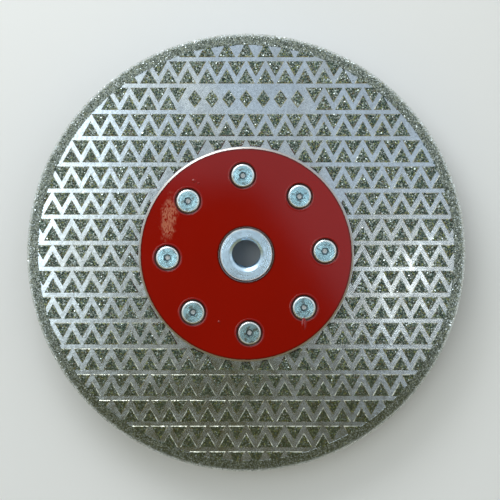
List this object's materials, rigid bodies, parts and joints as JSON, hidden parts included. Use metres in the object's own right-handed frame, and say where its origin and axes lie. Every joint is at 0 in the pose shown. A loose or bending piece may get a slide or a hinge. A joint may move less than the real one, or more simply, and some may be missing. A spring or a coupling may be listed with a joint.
{
  "type": "electroplated diamond disc",
  "caption": "Round steel disc with raised diamond grit in rows of triangles, clamped by countersunk screws between a red plate and a flange with a threaded hub.",
  "frame": {"origin": "centre of the hub's seat face, on the spindle axis", "axes": "+Z along the spindle axis, out of the work side; +X to the right and +Y up as the picture shows the work side"},
  "size_m": [0.18, 0.18, 0.0226],
  "materials": {
    "plated_grit": "nickel-plated steel with diamond grit held in the plating",
    "red_paint": "gloss deep red paint",
    "zinc_plated_flange": "turned and zinc plated",
    "zinc_plated_screw": "zinc plated"
  },
  "bodies": {
    "root": {"diamond_disc": "plated_grit", "front_plate": "red_paint", "threaded_flange": "zinc_plated_flange", "screw_1": "zinc_plated_screw", "screw_2": "zinc_plated_screw", "screw_3": "zinc_plated_screw", "screw_4": "zinc_plated_screw", "screw_5": "zinc_plated_screw", "screw_6": "zinc_plated_screw", "screw_7": "zinc_plated_screw", "screw_8": "zinc_plated_screw"}
  },
  "joints": []
}
